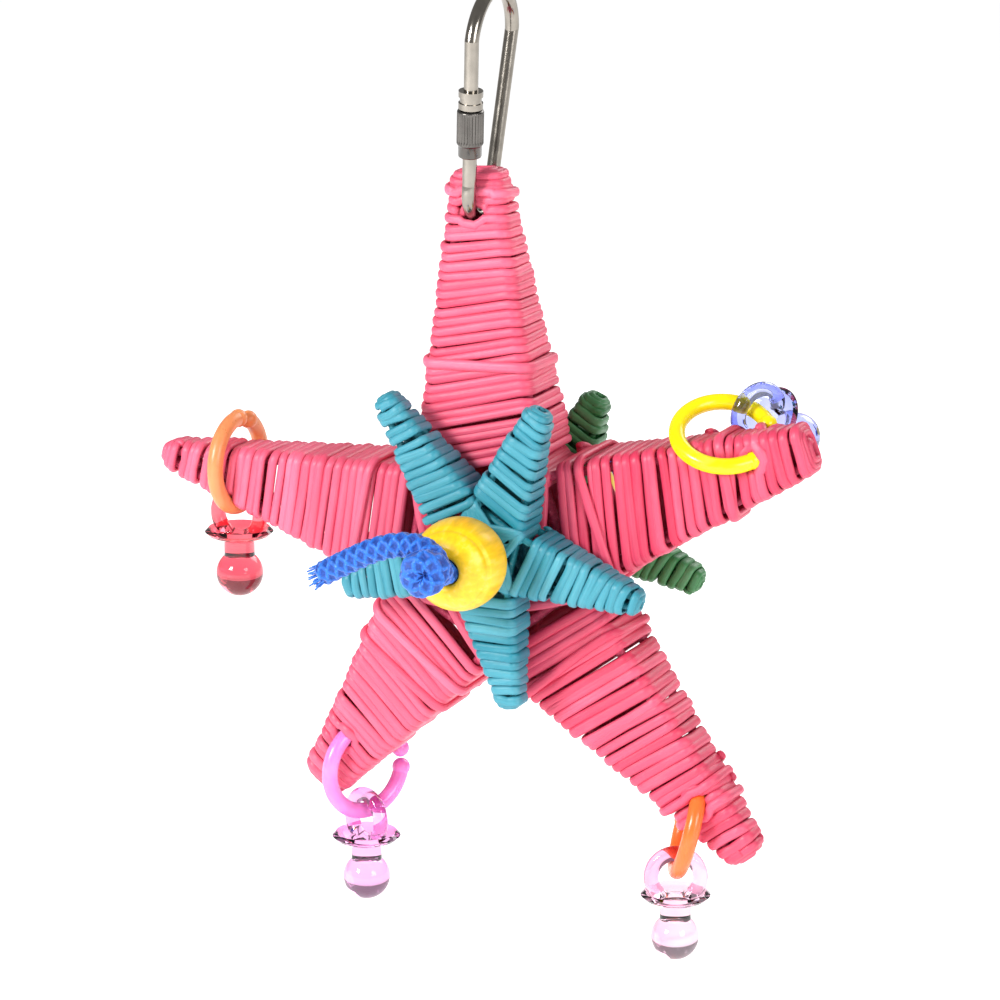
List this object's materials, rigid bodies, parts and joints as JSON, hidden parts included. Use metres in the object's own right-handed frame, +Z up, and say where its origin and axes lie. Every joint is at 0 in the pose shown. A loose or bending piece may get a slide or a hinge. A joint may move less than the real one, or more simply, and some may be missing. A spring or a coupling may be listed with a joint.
{
  "type": "hanging woven star toy",
  "caption": "Hanging party-style star wound from dyed split vine, with a smaller star front and rear on a rope with beads, plastic rings with charms, and a quick link.",
  "frame": {"origin": "inner top of the quick link's bow, where it hangs on a hook or ring", "axes": "+Z up; the stars face -Y, so the front bead and knot point along -Y; +X is the star's right seen from the front"},
  "size_m": [0.1709, 0.1153, 0.2409],
  "materials": {
    "nickel_wire": "bright nickel plate",
    "nickel_nut": "knurled nickel plate, dark in its flutes",
    "vine_pink": "dyed split vine, satin",
    "stick_pink": "dyed round stick",
    "vine_teal": "dyed split vine, satin",
    "stick_teal": "dyed round stick",
    "vine_green": "dyed split vine, satin",
    "stick_green": "dyed round stick",
    "bead_yellow": "painted turned wood",
    "rope_blue": "braided cord",
    "ring_yellow": "gloss",
    "ring_pale_orange": "gloss, slightly see-through",
    "ring_pink": "gloss",
    "ring_orange": "gloss",
    "clear_blue": "clear acrylic, violet blue tint",
    "clear_red": "clear acrylic, salmon red tint",
    "clear_magenta": "clear acrylic, magenta tint",
    "clear_rose": "clear acrylic, rose tint"
  },
  "bodies": {
    "link": {"link_body": "nickel_wire"},
    "sleeve_nut": {"link_nut": "nickel_nut"},
    "star": {"pink_frame_front": "stick_pink", "pink_frame_back": "stick_pink", "pink_hub_front": "vine_pink", "pink_hub_back": "vine_pink", "pink_wrap_right": "vine_pink", "pink_wrap_top": "vine_pink", "pink_wrap_left": "vine_pink", "pink_wrap_lower_left": "vine_pink", "pink_wrap_lower_right": "vine_pink", "rope": "rope_blue", "knot_front": "rope_blue", "tail_front": "rope_blue", "knot_back": "rope_blue", "tail_back": "rope_blue"},
    "front_star": {"teal_frame_front": "stick_teal", "teal_frame_back": "stick_teal", "teal_hub_front": "vine_teal", "teal_hub_back": "vine_teal", "teal_wrap_1": "vine_teal", "teal_wrap_2": "vine_teal", "teal_wrap_3": "vine_teal", "teal_wrap_4": "vine_teal", "teal_wrap_5": "vine_teal"},
    "rear_star": {"green_frame_front": "stick_green", "green_frame_back": "stick_green", "green_hub_front": "vine_green", "green_hub_back": "vine_green", "green_wrap_1": "vine_green", "green_wrap_2": "vine_green", "green_wrap_3": "vine_green", "green_wrap_4": "vine_green", "green_wrap_5": "vine_green"},
    "front_bead": {"bead_front": "bead_yellow"},
    "rear_bead": {"bead_back": "bead_yellow"},
    "ring_right": {"ring_right": "ring_yellow"},
    "charm_right": {"charm_right": "clear_blue"},
    "ring_left": {"ring_left": "ring_pale_orange"},
    "charm_left": {"charm_left": "clear_red"},
    "ring_lower_left": {"ring_lower_left": "ring_pink"},
    "charm_lower_left": {"charm_lower_left": "clear_magenta"},
    "ring_lower_right": {"ring_lower_right": "ring_orange"},
    "charm_lower_right": {"charm_lower_right": "clear_rose"}
  },
  "joints": [
    {"name": "nut_slide", "type": "slide", "parent": "link", "child": "sleeve_nut", "axis": [-0.081, 0.1494, -0.9855], "range_m": [0, 0.005]},
    {"name": "star_swing", "type": "hinge", "parent": "link", "child": "star", "pos_m": [-0.00441, 0, -0.05367], "axis": [0, 1, 0], "range_deg": [-30, 30]},
    {"name": "front_star_turn", "type": "hinge", "parent": "star", "child": "front_star", "pos_m": [0.006, 0, -0.1311], "axis": [0, 1, 0], "continuous": true},
    {"name": "rear_star_turn", "type": "hinge", "parent": "star", "child": "rear_star", "pos_m": [0.006, 0, -0.1311], "axis": [0, 1, 0], "continuous": true},
    {"name": "front_bead_turn", "type": "hinge", "parent": "star", "child": "front_bead", "pos_m": [0.006, 0, -0.1311], "axis": [0, 1, 0], "continuous": true},
    {"name": "rear_bead_turn", "type": "hinge", "parent": "star", "child": "rear_bead", "pos_m": [0.006, 0, -0.1311], "axis": [0, 1, 0], "continuous": true},
    {"name": "ring_right_tilt", "type": "hinge", "parent": "star", "child": "ring_right", "pos_m": [0.06851, -0.00481, -0.10734], "axis": [-0.0209, 0.8758, 0.4822], "range_deg": [0, 20]},
    {"name": "charm_right_swing", "type": "hinge", "parent": "ring_right", "child": "charm_right", "pos_m": [0.0637, 0.00955, -0.09844], "axis": [-0.9052, 0.256, 0.3393], "range_deg": [-10, 0]},
    {"name": "ring_left_tilt", "type": "hinge", "parent": "star", "child": "ring_left", "pos_m": [-0.07, 0, -0.1326], "axis": [0.094, 0.9956, 0], "range_deg": [-7, 7]},
    {"name": "charm_left_swing", "type": "hinge", "parent": "ring_left", "child": "charm_left", "pos_m": [-0.07, 0, -0.1326], "axis": [0.094, 0.9956, 0], "range_deg": [-8, 8]},
    {"name": "ring_lower_left_tilt", "type": "hinge", "parent": "star", "child": "ring_lower_left", "pos_m": [-0.0354, 0, -0.1866], "axis": [-0.4981, -0.8671, 0], "range_deg": [0, 4]},
    {"name": "charm_lower_left_swing", "type": "hinge", "parent": "ring_lower_left", "child": "charm_lower_left", "pos_m": [-0.0354, 0, -0.2092], "axis": [0.4981, 0.8671, 0], "range_deg": [-12, 8]},
    {"name": "ring_lower_right_tilt", "type": "hinge", "parent": "star", "child": "ring_lower_right", "pos_m": [0.05376, 0.00104, -0.19204], "axis": [0.375, -0.927, 0], "range_deg": [-14, 0]},
    {"name": "charm_lower_right_swing", "type": "hinge", "parent": "ring_lower_right", "child": "charm_lower_right", "pos_m": [0.04864, -0.00104, -0.21396], "axis": [-0.375, 0.927, 0], "range_deg": [-12, 12]}
  ]
}
